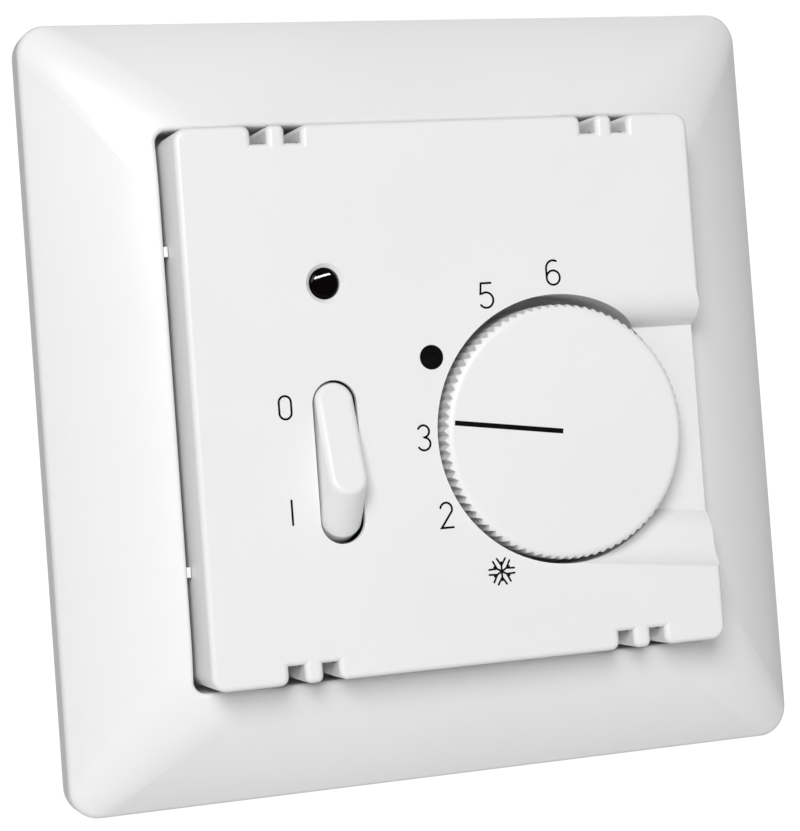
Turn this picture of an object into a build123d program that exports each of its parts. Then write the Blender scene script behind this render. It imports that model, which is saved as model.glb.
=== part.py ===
from build123d import *
from math import cos, degrees, radians, sin, sqrt
import os

# Flush-mounted room thermostat, in millimetres.
# X runs to the right and Z upwards, both seen from the room. +Y runs into the wall.
# The origin is on the wall's surface, at the centre of the fixing screw pattern.
# A "height" is a distance in front of the wall, so a height h lies at Y = -h.
# A negative height is a place inside the wall box.

# ---- Cover frame ----
frame_border = 12.5
frame_corner_radius = 3.1
frame_edge_height = 3.2
frame_edge_rounding = 1.0
frame_rim_height = 10.5
frame_bulge = 0.75
frame_ridge_rounding = 7.0
frame_level_count = 3
level_overrun = 3.0
level_overrun_rise = 0.6
frame_hollow_inset = 1.2
frame_hollow_drop = 1.4
frame_wall = 1.8
collar_wall = 1.6
collar_end_height = 4.0
rim_rounding = 0.4
opening_corner_radius = 1.3
opening_gap = 0.5
nub_spread = 31.8
nub_length = 1.0
nub_clearance = 0.1

# ---- Front cover ----
insert_side = 55.0
face_height = 15.5
cover_wall = 1.6
cover_corner_radius = 1.5
cover_edge_rounding = 0.6
cover_skirt_height = 1.6
tongue_pitch = 35.2
tongue_shift = 0.45
tongue_width = 1.85
tongue_corner_radius = 0.65
notch_width = 1.65
notch_depth = 1.85
notch_shoulder_radius = 0.85
hook_length = 1.8
hook_reach = 0.9
hook_clearance = 0.3

# ---- Dial, its well and the thumb recess ----
dial_x = 10.9
dial_z = -4.8
dial_radius = 13.0
dial_proud = 1.0
dial_height = 6.9
dial_teeth = 86
tooth_depth = 0.38
dial_skirt_wall = 1.2
dial_top_wall = 1.6
dial_hub_radius = 4.4
dial_rib_wall = 0.8
dial_rib_count = 6
dial_edge_rounding = 0.9
dial_skirt_rounding = 0.2
dial_bore_clearance = 0.03
pointer_angle = 172.0
coldest_angle = 240.0
warmest_angle = 90.0
well_shift_x = 0.2
well_shift_z = 0.3
well_clearance = 0.75
well_wall = 1.4
well_floor_gap = 0.6
recess_depth = 2.8
recess_floor_wall = 1.5
recess_top_radius = 4.0
recess_ramp_length = 5.8
recess_ramp_drop = 1.85
recess_overrun = 1.0

# ---- Setpoint spindle and cam ----
spindle_radius = 3.0
spindle_flat = 2.2
spindle_pivot_radius = 1.5
running_clearance = 0.05
cam_rest_radius = 6.0
cam_rise_per_degree = 0.01467
cam_back_radius = 4.6
cam_margin_angle = 15.0
cam_thickness = 1.6
cam_height = 5.4

# ---- Range rings and friction washer ----
bush_wall = 1.55
bush_length = 1.9
ring_clearance = 0.1
ring_width = 1.6
ring_thickness = 1.3
stop_pin_radius = 0.55
stop_pin_length = 2.0
stop_tab_angle = 7.0
stop_gap_angle = 2.0
washer_thickness = 0.3

# ---- Rocker switch ----
rocker_x = -13.15
rocker_z = -6.1
rocker_slot_length = 16.2
rocker_slot_width = 4.6
rocker_slot_land = 0.6
rocker_side_clearance = 0.15
rocker_axis_depth = 5.0
rocker_top_distance = 7.07
rocker_top_length = 11.48
rocker_top_width = 3.9
rocker_shoulder_distance = 2.19
rocker_shoulder_length = 17.32
rocker_skirt_distance = -0.6
rocker_edge_rounding = 0.65
rocker_throw = 39.7
rocker_foot_length = 3.7
rocker_foot_width = 2.4
rocker_foot_thickness = 1.6
rocker_pin_radius = 0.8
rocker_hub_length = 1.6
cheek_gap = 0.35
cheek_wall = 1.2
cheek_length = 6.0
cheek_top_depth = 2.9
blade_throw = 12.0
blade_length = 12.4
blade_width = 3.0
blade_thickness = 0.3
blade_drop = 0.5
blade_contact_radius = 0.9
blade_contact_offset = 5.0
blade_clearance = 0.2
blade_contact_thickness = 0.3
fulcrum_length = 1.2
bracket_base_thickness = 0.6

# ---- Indicator lamp ----
lamp_x = -13.2
lamp_z = 11.6
lens_radius = 1.55
lens_hole_clearance = 0.05
lens_recess = 0.4
lens_flange_radius = 2.4
lens_flange_thickness = 0.8
lens_boss_radius = 3.0
lens_boss_length = 2.3
bulb_radius = 2.0
bulb_length = 4.6
bulb_gap = 0.5
bulb_rounding = 1.6
lead_radius = 0.25
lead_spacing = 1.4

# ---- Support plate ----
plate_side = 71.0
plate_corner_radius = 4.0
plate_thickness = 1.2
screw_spacing = 60.0
screw_slot_width = 3.6
screw_slot_length = 6.6
plate_cutout_clearance = 0.3
plate_screw_place = 19.5
plate_screw_radius = 1.0
plate_screw_head_radius = 1.6
plate_screw_head_thickness = 1.0
plate_screw_length = 2.6
plate_screw_cross_length = 1.8
plate_screw_cross_width = 0.4
plate_screw_cross_depth = 0.5

# ---- Base housing and rear cover ----
tray_gap = 0.5
tray_floor = 1.4
tray_rim_wall = 1.2
tray_rim_height = 4.8
board_pad = 0.6
box_body_side = 45.0
box_body_chamfer = 9.0
box_body_depth = 24.0
box_body_wall = 1.6
rear_cover_thickness = 1.8
rear_lip_depth = 1.5
rear_lip_wall = 1.2
rear_lip_clearance = 0.1
bearing_boss_radius = 3.4
bearing_clearance = 0.3
bearing_drop = 0.2
pad_radius = 2.4

# ---- Circuit board ----
board_side = 47.0
board_thickness = 1.6
board_screw_place = 21.0
board_screw_radius = 1.0
board_screw_head_radius = 1.8
board_screw_head_thickness = 1.2
board_hole_clearance = 0.4

# ---- Cover screw ----
cover_screw_distance = 10.0
cover_screw_angle = -60.0
cover_screw_radius = 1.25
cover_screw_head_radius = 1.95
cover_screw_head_thickness = 1.4
cover_screw_slot_width = 0.5
cover_screw_slot_depth = 0.7
cover_screw_sink = 2.0
cover_pillar_radius = 3.0
cover_boss_drop = 2.0

# ---- Setting lever ----
lever_x = -4.6
lever_z = 2.7
lever_pin_radius = 1.25
lever_pin_head_radius = 2.0
lever_pin_head_thickness = 0.6
lever_hub_radius = 2.6
lever_arm_width = 2.6
lever_nose_radius = 1.3
cam_gap = 0.3
lever_post_width = 2.0
lever_tab_bottom = 4.3
lever_tab_top = 10.6
lever_tab_rise = 3.6

# ---- Bimetal and contacts ----
bimetal_x = -7.4
bimetal_thickness = 0.4
bimetal_width = 5.0
bimetal_corner_radius = 1.0
bimetal_height = 5.9
bimetal_top_z = 23.5
bimetal_tip_z = 7.4
bracket_bottom_z = 21.3
bracket_top_z = 24.2
bracket_wall = 1.4
bracket_clearance = 0.08
contact_z = 11.6
contact_height = 8.6
contact_radius = 1.1
moving_contact_thickness = 0.3
lever_contact_thickness = 0.25
magnet_z = 8.6
magnet_length = 1.8
magnet_thickness = 0.4
armature_thickness = 0.15
calibration_screw_radius = 1.0
calibration_screw_length = 5.0
calibration_slot_width = 0.35
calibration_slot_depth = 0.5

# ---- Board components ----
resistor_radius = 1.2
resistor_length = 6.0
resistor_lead_radius = 0.3
resistor_lead_reach = 1.6
resistor_standoff = 0.6
resistor_rounding = 0.48
capacitor_length = 13.0
capacitor_width = 5.0
capacitor_height = 6.5
capacitor_rounding = 0.6
capacitor_x = 11.5
capacitor_z = 20.0

# ---- Terminals ----
terminal_count = 4
terminal_pitch = 7.0
terminal_block_bottom_z = -17.6
terminal_block_height = 10.4
terminal_block_gap = 0.1
terminal_block_wall = 1.2
cage_wall = 0.9
cage_clearance = 0.1
cage_depth = 9.0
cage_inset = 1.0
terminal_screw_radius = 1.4
terminal_screw_length = 5.6
terminal_slot_width = 0.5
terminal_slot_depth = 0.7
screw_access_radius = 2.1
wire_hole_radius = 1.6
tab_width = 2.6
tab_thickness = 0.8

# ---- Places worked out from the sizes above ----
frame_side = insert_side + 2 * frame_border
opening_side = insert_side + 2 * opening_gap
collar_side = opening_side + 2 * collar_wall
cover_inner_side = insert_side - 2 * cover_wall
cover_inner_height = face_height - cover_wall
well_x = dial_x + well_shift_x
well_z = dial_z + well_shift_z
well_radius = dial_radius + well_clearance
dial_top_height = face_height + dial_proud
dial_skirt_height = dial_top_height - dial_height
dial_inner_height = dial_top_height - dial_top_wall
well_floor_height = dial_skirt_height - well_floor_gap
well_underside_height = well_floor_height - well_wall
recess_floor_height = face_height - recess_depth
bush_radius = spindle_radius + running_clearance
bush_outer_radius = bush_radius + bush_wall
bush_top_height = well_floor_height + bush_length
dial_skirt_inner = dial_radius - tooth_depth - dial_skirt_wall
spindle_top_height = dial_inner_height - running_clearance
hub_bottom_height = bush_top_height + washer_thickness + running_clearance
min_ring_inner = bush_outer_radius + ring_clearance
max_ring_inner = min_ring_inner + ring_width + ring_clearance
ring_top_height = well_floor_height + ring_thickness
stop_pin_top_height = ring_top_height + stop_pin_length
rocker_pivot_height = face_height - rocker_axis_depth
rocker_width = rocker_slot_width - 2 * rocker_side_clearance
rocker_rest_angle = radians(rocker_throw / 2)
board_bottom_height = plate_thickness + tray_floor + board_pad
board_top_height = board_bottom_height + board_thickness
tray_floor_top = plate_thickness + tray_floor
tray_side = cover_inner_side - 2 * tray_gap
bearing_top_height = board_top_height - bearing_drop
cover_screw_x = dial_x + cover_screw_distance * cos(radians(cover_screw_angle))
cover_screw_z = dial_z + cover_screw_distance * sin(radians(cover_screw_angle))
cover_boss_height = well_underside_height - cover_boss_drop
lever_nose_x = dial_x
lever_nose_z = dial_z + cam_rest_radius + cam_gap + lever_nose_radius
cheek_top_height = face_height - cheek_top_depth
blade_pivot_height = rocker_pivot_height - rocker_foot_length - blade_drop
blade_rest_angle = radians(blade_throw / 2)
terminal_block_centre_z = terminal_block_bottom_z + terminal_block_height / 2
terminal_block_depth = box_body_depth - rear_lip_depth - terminal_block_gap
pocket_width = terminal_pitch - terminal_block_wall
pocket_height = terminal_block_height - 2 * terminal_block_wall
cage_width = pocket_width - 2 * cage_clearance
cage_height = pocket_height - 2 * cage_clearance
cage_front = cage_depth + cage_inset - terminal_block_depth


def facing(height):
    """A sketch plane at a height in front of the wall. Its own X and Y are the model's X and Z."""
    return Plane(origin=(0, -height, 0), x_dir=(1, 0, 0), z_dir=(0, -1, 0))


def tilted(x, height, z, angle):
    """A sketch plane that faces the room, tilted upwards by an angle in radians."""
    return Plane(origin=(x, -height, z), x_dir=(1, 0, 0), z_dir=(0, -cos(angle), sin(angle)))


def side_plane(x, height, z):
    """A sketch plane square to X, with its own X along the wall's normal and its own Y upwards."""
    return Plane(origin=(x, -height, z), x_dir=(0, 1, 0), z_dir=(1, 0, 0))


def polar(centre_x, centre_z, radius, angle):
    """A point in the plane of the wall, by its distance and its angle in degrees."""
    return (centre_x + radius * cos(radians(angle)), centre_z + radius * sin(radians(angle)))


terminal_places = [(i - (terminal_count - 1) / 2) * terminal_pitch for i in range(terminal_count)]
corners = [(i, j) for i in (-1, 1) for j in (-1, 1)]
os.makedirs("parts", exist_ok=True)
match_tolerance = 0.01
pieces = {}


# ---- Cover frame: a domed square ring that is hollow behind ----
def level_curves(inset, drop):
    """Height, side and corner radius of the level curves from the frame's edge to inside its opening."""
    run = (frame_side - opening_side) / 2
    rise = frame_rim_height - frame_edge_height
    slope_length = sqrt(run**2 + rise**2)
    curves = []
    for step in range(frame_level_count + 1):
        t = step / frame_level_count
        swell = 4 * frame_bulge * t * (1 - t) / slope_length
        side = frame_side - 2 * run * t + 2 * rise * swell - 2 * inset
        height = frame_edge_height + rise * t + run * swell - drop
        radius = frame_corner_radius + (frame_ridge_rounding - frame_corner_radius) * t - inset
        curves.append((height, side, radius))
    last_side = opening_side - 2 * level_overrun - 2 * inset
    curves.append((frame_rim_height + level_overrun_rise - drop, last_side, frame_ridge_rounding - inset))
    return curves


hollow_side = frame_side - 2 * frame_wall
with BuildPart() as frame_hollow:
    for height, side, radius in level_curves(frame_hollow_inset, frame_hollow_drop):
        with BuildSketch(facing(height)):
            RectangleRounded(side, side, radius)
    loft()
    with BuildSketch(facing(frame_edge_height - frame_hollow_drop)):
        RectangleRounded(hollow_side, hollow_side, frame_corner_radius - frame_wall)
    extrude(amount=frame_rim_height, mode=Mode.INTERSECT)
    with BuildSketch(facing(0)):
        RectangleRounded(hollow_side, hollow_side, frame_corner_radius - frame_wall)
    extrude(amount=frame_edge_height - frame_hollow_drop)
    with BuildSketch(facing(collar_end_height)):
        Rectangle(collar_side, collar_side)
    extrude(amount=2 * frame_rim_height, mode=Mode.SUBTRACT)

with BuildPart() as cover_frame:
    for height, side, radius in level_curves(0, 0):
        with BuildSketch(facing(height)):
            RectangleRounded(side, side, radius)
    loft()
    with BuildSketch(facing(0)):
        RectangleRounded(frame_side, frame_side, frame_corner_radius)
    extrude(amount=frame_edge_height)
    edges = cover_frame.edges()
    edge_loop = edges.filter_by(lambda e: abs(e.center().Y + frame_edge_height) < match_tolerance)
    fillet(edge_loop, frame_edge_rounding)
    with BuildSketch(facing(0)):
        RectangleRounded(opening_side, opening_side, opening_corner_radius)
    extrude(amount=2 * frame_rim_height, mode=Mode.SUBTRACT)
    inner_edges = cover_frame.edges().filter_by(
        lambda e: max(abs(e.center().X), abs(e.center().Z)) < opening_side / 2 + match_tolerance
    )
    rim = inner_edges.filter_by(lambda e: -e.bounding_box().max.Y > collar_end_height)
    fillet(rim, rim_rounding)
    add(frame_hollow.part, mode=Mode.SUBTRACT)
    nub_half = opening_gap - nub_clearance
    for side in (-1, 1):
        nub_x = side * (opening_side / 2 - nub_half / 2)
        with BuildSketch(facing(collar_end_height)):
            with Locations((nub_x, -nub_spread / 2), (nub_x, nub_spread / 2)):
                Rectangle(nub_half, nub_length)
        extrude(amount=frame_rim_height - rim_rounding - collar_end_height)
pieces["cover_frame"] = cover_frame


# ---- Front cover: a square shell with the dial's well, thumb recess and openings ----
notch_offset = (tongue_width + notch_width) / 2
tongue_places = [(i * tongue_pitch / 2 + tongue_shift, j) for i, j in corners]
notch_top = insert_side / 2
inner_half = cover_inner_side / 2
with BuildSketch(facing(recess_floor_height)) as cover_outline:
    RectangleRounded(insert_side, insert_side, cover_corner_radius)
    for place, side in tongue_places:
        with Locations((place - notch_offset, side * notch_top), (place + notch_offset, side * notch_top)):
            Rectangle(notch_width, 2 * notch_depth, mode=Mode.SUBTRACT)
    for reach, radius in (
        (tongue_width / 2, tongue_corner_radius),
        (tongue_width / 2 + notch_width, notch_shoulder_radius),
    ):
        # The sketch's own Y is the height on the wall
        mouths = cover_outline.vertices().filter_by(lambda v: abs(abs(v.Y) - notch_top) < match_tolerance)
        corner_places = [place + end * reach for place, side in tongue_places for end in (-1, 1)]
        shoulders = mouths.filter_by(lambda v: min(abs(v.X - x) for x in corner_places) < match_tolerance)
        fillet(shoulders, radius)

recess_top_z = well_z + well_radius
recess_arc_drop = sqrt(recess_top_radius**2 - (recess_top_radius - recess_depth) ** 2)
ramp_radius = (recess_ramp_length**2 + recess_depth**2) / (4 * recess_depth)
recess_end_x = insert_side / 2 + recess_overrun
ramp_bottom_z = {well_x: well_z - well_radius, recess_end_x: well_z - well_radius - recess_ramp_drop}


def draw_recess(ramp_end_z):
    """Side view of the thumb recess: a hollow upper wall, a level floor and an S-shaped ramp."""
    floor_start_z = recess_top_z - recess_arc_drop
    floor_end_z = ramp_end_z + recess_ramp_length
    above = face_height + recess_depth
    middle = ((floor_end_z + ramp_end_z) / 2, face_height - recess_depth / 2)
    with BuildLine() as outline:
        RadiusArc((recess_top_z, face_height), (floor_start_z, recess_floor_height), -recess_top_radius)
        Line((floor_start_z, recess_floor_height), (floor_end_z, recess_floor_height))
        RadiusArc((floor_end_z, recess_floor_height), middle, -ramp_radius)
        RadiusArc(middle, (ramp_end_z, face_height), ramp_radius)
        Polyline((ramp_end_z, face_height), (ramp_end_z, above), (recess_top_z, above))
        Line((recess_top_z, above), (recess_top_z, face_height))
    make_face(outline.edges())


with BuildPart() as thumb_recess:
    for section_x, ramp_end_z in ramp_bottom_z.items():
        section = Plane(origin=(section_x, 0, 0), x_dir=(0, 0, 1), z_dir=(1, 0, 0))
        with BuildSketch(section):
            draw_recess(ramp_end_z)
    loft(ruled=True)

with BuildPart() as front_cover:
    with BuildSketch(facing(cover_skirt_height)):
        add(cover_outline.sketch_local)
    extrude(amount=face_height - cover_skirt_height)
    front_edges = front_cover.faces().sort_by(Axis.Y)[0].edges()
    fillet(front_edges, cover_edge_rounding)
    with BuildSketch(facing(cover_skirt_height)):
        Rectangle(cover_inner_side, cover_inner_side)
    extrude(amount=cover_inner_height - cover_skirt_height, mode=Mode.SUBTRACT)
    # Walls round the well and under the recess, inside the shell
    with BuildSketch(facing(well_underside_height)):
        with Locations((well_x, well_z)):
            Circle(well_radius + well_wall)
        with Locations((0, 0)):
            Rectangle(cover_inner_side + cover_wall, cover_inner_side + cover_wall, mode=Mode.INTERSECT)
    extrude(amount=cover_inner_height - well_underside_height)
    recess_low_z = well_z - well_radius - recess_ramp_drop
    with BuildSketch(facing(recess_floor_height - recess_floor_wall)):
        with Locations(((well_x + inner_half) / 2, (recess_top_z + recess_low_z) / 2)):
            Rectangle(inner_half - well_x, recess_top_z - recess_low_z + 2 * recess_floor_wall)
    extrude(amount=cover_inner_height - recess_floor_height + recess_floor_wall)
    with BuildSketch(facing(cover_boss_height)):
        with Locations((cover_screw_x, cover_screw_z)):
            Circle(cover_pillar_radius)
    extrude(amount=cover_boss_drop)
    # Cavities
    add(thumb_recess.part, mode=Mode.SUBTRACT)
    with BuildSketch(facing(well_floor_height)):
        with Locations((well_x, well_z)):
            Circle(well_radius)
    extrude(amount=dial_height, mode=Mode.SUBTRACT)
    with BuildSketch(facing(well_floor_height)):
        with Locations((dial_x, dial_z)):
            Circle(bush_outer_radius)
    extrude(amount=bush_length)
    with BuildSketch(facing(well_underside_height)):
        with Locations((dial_x, dial_z)):
            Circle(bush_radius)
    extrude(amount=bush_top_height - well_underside_height, mode=Mode.SUBTRACT)
    with BuildSketch(facing(cover_boss_height)):
        with Locations((cover_screw_x, cover_screw_z)):
            Circle(cover_screw_radius + running_clearance)
    extrude(amount=well_floor_height - cover_boss_height, mode=Mode.SUBTRACT)
    with BuildSketch(facing(well_floor_height - cover_screw_sink)):
        with Locations((cover_screw_x, cover_screw_z)):
            Circle(cover_screw_head_radius + lens_hole_clearance)
    extrude(amount=cover_screw_sink, mode=Mode.SUBTRACT)
    # Rocker slot, flared behind its land
    slot_flare = cover_wall - rocker_slot_land
    with BuildSketch(facing(face_height - rocker_slot_land)):
        with Locations((rocker_x, rocker_z)):
            SlotOverall(rocker_slot_length, rocker_slot_width, rotation=90)
    extrude(amount=rocker_slot_land, mode=Mode.SUBTRACT)
    for height, growth in ((cover_inner_height, 2 * slot_flare), (face_height - rocker_slot_land, 0)):
        with BuildSketch(facing(height)):
            with Locations((rocker_x, rocker_z)):
                SlotOverall(rocker_slot_length + growth, rocker_slot_width + growth, rotation=90)
    loft(mode=Mode.SUBTRACT)
    # Lamp hole with a countersink in front and a boss behind
    with BuildSketch(facing(cover_inner_height - lens_boss_length)):
        with Locations((lamp_x, lamp_z)):
            Circle(lens_boss_radius)
    extrude(amount=lens_boss_length)
    with BuildSketch(facing(cover_inner_height - lens_boss_length)):
        with Locations((lamp_x, lamp_z)):
            Circle(lens_radius + lens_hole_clearance)
    extrude(amount=lens_boss_length + cover_wall, mode=Mode.SUBTRACT)
    for height, growth in ((face_height - lens_recess, 0), (face_height, lens_recess)):
        with BuildSketch(facing(height)):
            with Locations((lamp_x, lamp_z)):
                Circle(lens_radius + lens_hole_clearance + growth)
    loft(mode=Mode.SUBTRACT)
    # Hooks at the free ends of the latch tongues hold the cover frame down
    hook_top_height = collar_end_height - hook_clearance
    hook_low_height = hook_top_height - hook_length
    for place, side in tongue_places:
        tongue_edge = (place - tongue_width / 2, 0, side * notch_top)
        with BuildSketch(Plane(origin=tongue_edge, x_dir=(0, 0, side), z_dir=(side, 0, 0))):
            with BuildLine():
                hook_root = (0, hook_low_height)
                Polyline(hook_root, (0, hook_top_height), (hook_reach, hook_top_height), close=True)
            make_face()
        extrude(amount=side * tongue_width)
pieces["front_cover"] = front_cover


# ---- Dial: a knurled cap with a hub for the spindle ----
def draw_sector(inner_radius, outer_radius, middle_angle, width_angle):
    """A sector of a ring about the dial's axis, with its angles in degrees."""
    start = middle_angle - width_angle / 2
    end = middle_angle + width_angle / 2
    with BuildLine() as outline:
        CenterArc((dial_x, dial_z), inner_radius, start, width_angle)
        Line(polar(dial_x, dial_z, inner_radius, end), polar(dial_x, dial_z, outer_radius, end))
        CenterArc((dial_x, dial_z), outer_radius, start, width_angle)
        Line(polar(dial_x, dial_z, outer_radius, start), polar(dial_x, dial_z, inner_radius, start))
    make_face(outline.edges())


def draw_spindle_end(clearance):
    """A circle with one flat, which turns the dial with its spindle."""
    radius = spindle_radius + clearance
    with Locations((dial_x, dial_z)):
        Circle(radius)
    with Locations((dial_x, dial_z - spindle_flat - clearance - radius)):
        Rectangle(2 * radius, 2 * radius, mode=Mode.SUBTRACT)


tooth_angle = 360 / dial_teeth
tooth_points = []
for tooth in range(dial_teeth):
    tooth_points.append(polar(0, 0, dial_radius, tooth * tooth_angle))
    tooth_points.append(polar(0, 0, dial_radius - tooth_depth, (tooth + 0.5) * tooth_angle))

with BuildPart() as dial_blank:
    with BuildSketch(facing(dial_skirt_height)):
        with Locations((dial_x, dial_z)):
            Circle(dial_radius)
    extrude(amount=dial_height)
    blank_edges = dial_blank.edges().filter_by(GeomType.CIRCLE).sort_by(Axis.Y)
    fillet(blank_edges[0], dial_edge_rounding)
    fillet(dial_blank.edges().filter_by(GeomType.CIRCLE).sort_by(Axis.Y)[-1], dial_skirt_rounding)

with BuildPart() as dial:
    with BuildSketch(facing(dial_skirt_height)):
        with Locations((dial_x, dial_z)):
            Polygon(*tooth_points, align=None)
            Circle(dial_skirt_inner, mode=Mode.SUBTRACT)
    extrude(amount=dial_height)
    add(dial_blank.part, mode=Mode.INTERSECT)
    with BuildSketch(facing(dial_inner_height)):
        with Locations((dial_x, dial_z)):
            Circle(dial_radius - dial_skirt_wall)
    extrude(amount=dial_top_wall)
    with BuildSketch(facing(hub_bottom_height)):
        with Locations((dial_x, dial_z)):
            Circle(dial_hub_radius)
    extrude(amount=dial_inner_height - hub_bottom_height)
    with BuildSketch(facing(stop_pin_top_height + ring_clearance)):
        with Locations((dial_x, dial_z)):
            with PolarLocations((dial_skirt_inner + dial_hub_radius) / 2, dial_rib_count):
                Rectangle(dial_skirt_inner - dial_hub_radius + dial_rib_wall, dial_rib_wall)
    extrude(amount=dial_inner_height - stop_pin_top_height - ring_clearance)
    # The stop tab sweeps between the pins of the two range rings
    with BuildSketch(facing(ring_top_height + ring_clearance)):
        draw_sector(min_ring_inner, max_ring_inner + ring_width, pointer_angle, stop_tab_angle)
    extrude(amount=dial_inner_height - ring_top_height - ring_clearance)
    # Flatted bore for the spindle
    with BuildSketch(facing(hub_bottom_height)):
        draw_spindle_end(dial_bore_clearance)
    extrude(amount=dial_inner_height - hub_bottom_height, mode=Mode.SUBTRACT)
pieces["dial"] = dial


# ---- Setpoint spindle with its spiral cam ----
cam_start_angle = warmest_angle + pointer_angle - coldest_angle - cam_margin_angle
cam_end_angle = pointer_angle + cam_margin_angle


def cam_radius(angle):
    """The cam's radius at a place that faces the given angle at rest. It grows evenly."""
    return cam_rest_radius + cam_rise_per_degree * (angle - 90)


cam_steps = 12
cam_step_angle = (cam_end_angle - cam_start_angle) / cam_steps
cam_angles = [cam_start_angle + cam_step_angle * i for i in range(cam_steps + 1)]
cam_curve = [polar(dial_x, dial_z, cam_radius(angle), angle) for angle in cam_angles]
cam_back = polar(dial_x, dial_z, cam_back_radius, (cam_start_angle + cam_end_angle) / 2 + 180)

with BuildPart() as setpoint_spindle:
    with BuildSketch(facing(plate_thickness + running_clearance)):
        with Locations((dial_x, dial_z)):
            Circle(spindle_pivot_radius)
    extrude(amount=cam_height - plate_thickness)
    with BuildSketch(facing(bearing_top_height + bearing_clearance)):
        with Locations((dial_x, dial_z)):
            Circle(spindle_radius)
    extrude(amount=hub_bottom_height - bearing_top_height - bearing_clearance)
    with BuildSketch(facing(hub_bottom_height)):
        draw_spindle_end(0)
    extrude(amount=spindle_top_height - hub_bottom_height)
    with BuildSketch(facing(cam_height)):
        with BuildLine():
            Spline(*cam_curve)
            ThreePointArc(cam_curve[-1], cam_back, cam_curve[0])
        make_face()
    extrude(amount=cam_thickness)
pieces["setpoint_spindle"] = setpoint_spindle


# ---- Range rings, which carry the dial's two stop pins, and the friction washer ----
stop_offset = (stop_tab_angle + stop_gap_angle) / 2
ring_settings = {
    "min_range_ring": (min_ring_inner, coldest_angle + stop_offset),
    "max_range_ring": (max_ring_inner, warmest_angle - stop_offset),
}
for name, (inner, angle) in ring_settings.items():
    middle = inner + ring_width / 2
    pin_angle = degrees(stop_pin_radius / middle) * (1 if angle > pointer_angle else -1)
    with BuildPart() as range_ring:
        with BuildSketch(facing(well_floor_height)):
            with Locations((dial_x, dial_z)):
                Circle(inner + ring_width)
                Circle(inner, mode=Mode.SUBTRACT)
        extrude(amount=ring_thickness)
        with BuildSketch(facing(ring_top_height)):
            with Locations(polar(dial_x, dial_z, middle, angle + pin_angle)):
                Circle(stop_pin_radius)
        extrude(amount=stop_pin_length)
    pieces[name] = range_ring

with BuildPart() as friction_washer:
    with BuildSketch(facing(bush_top_height)):
        with Locations((dial_x, dial_z)):
            Circle(bush_outer_radius - ring_clearance)
            Circle(bush_radius + ring_clearance, mode=Mode.SUBTRACT)
    extrude(amount=washer_thickness)
pieces["friction_washer"] = friction_washer

with BuildPart() as cover_screw:
    head_height = well_floor_height - cover_screw_sink
    with BuildSketch(facing(head_height)):
        with Locations((cover_screw_x, cover_screw_z)):
            Circle(cover_screw_head_radius)
    extrude(amount=cover_screw_head_thickness)
    with BuildSketch(facing(head_height)):
        with Locations((cover_screw_x, cover_screw_z)):
            Circle(cover_screw_radius)
    extrude(amount=-(head_height - plate_thickness - ring_clearance))
    with BuildSketch(facing(head_height + cover_screw_head_thickness)):
        with Locations((cover_screw_x, cover_screw_z)):
            Rectangle(2 * cover_screw_head_radius, cover_screw_slot_width)
    extrude(amount=-cover_screw_slot_depth, mode=Mode.SUBTRACT)
pieces["cover_screw"] = cover_screw


# ---- Rocker and its switch. At rest the rocker's upper end is pressed in ----
def rocker_plane(distance):
    """A plane square to the rocker, at a distance from its axis towards its face."""
    return tilted(rocker_x, rocker_pivot_height, rocker_z, rocker_rest_angle).offset(distance)


with BuildPart() as rocker:
    with BuildSketch(rocker_plane(rocker_skirt_distance)):
        SlotOverall(rocker_shoulder_length, rocker_width, rotation=90)
    extrude(amount=rocker_shoulder_distance - rocker_skirt_distance)
    with BuildSketch(rocker_plane(rocker_shoulder_distance)):
        SlotOverall(rocker_shoulder_length, rocker_width, rotation=90)
    with BuildSketch(rocker_plane(rocker_top_distance)):
        SlotOverall(rocker_top_length, rocker_top_width, rotation=90)
    loft()
    top_edges = rocker.faces().sort_by(Axis(origin=(0, 0, 0), direction=rocker_plane(0).z_dir))[-1].edges()
    fillet(top_edges, rocker_edge_rounding)
    with BuildSketch(rocker_plane(-rocker_foot_length)):
        Rectangle(rocker_foot_width, rocker_foot_thickness)
    extrude(amount=rocker_foot_length)
    with BuildSketch(rocker_plane(-rocker_hub_length)):
        Circle(rocker_foot_width / 2)
    extrude(amount=rocker_hub_length)
    with BuildSketch(side_plane(rocker_x, rocker_pivot_height, rocker_z)):
        Circle(rocker_pin_radius + running_clearance)
    extrude(amount=rocker_width, both=True, mode=Mode.SUBTRACT)
pieces["rocker"] = rocker

cheek_centre = rocker_width / 2 + cheek_gap + cheek_wall / 2
bracket_length = blade_length + 2 * cheek_wall + 2 * cheek_gap
with BuildPart() as rocker_bracket:
    with BuildSketch(facing(board_top_height)):
        with Locations((rocker_x, rocker_z)):
            Rectangle(2 * cheek_centre + cheek_wall, bracket_length)
            Rectangle(2 * cheek_centre - cheek_wall, bracket_length - 2 * cheek_wall, mode=Mode.SUBTRACT)
    extrude(amount=bracket_base_thickness)
    with BuildSketch(facing(board_top_height)):
        with Locations((rocker_x - cheek_centre, rocker_z), (rocker_x + cheek_centre, rocker_z)):
            Rectangle(cheek_wall, cheek_length)
    extrude(amount=cheek_top_height - board_top_height)
    with BuildSketch(side_plane(rocker_x, rocker_pivot_height, rocker_z)):
        Circle(rocker_pin_radius)
    extrude(amount=cheek_centre + cheek_wall, both=True, mode=Mode.SUBTRACT)
pieces["rocker_bracket"] = rocker_bracket

with BuildPart() as rocker_pin:
    with BuildSketch(side_plane(rocker_x, rocker_pivot_height, rocker_z)):
        Circle(rocker_pin_radius)
    extrude(amount=cheek_centre + cheek_wall / 2, both=True)
pieces["rocker_pin"] = rocker_pin

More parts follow.
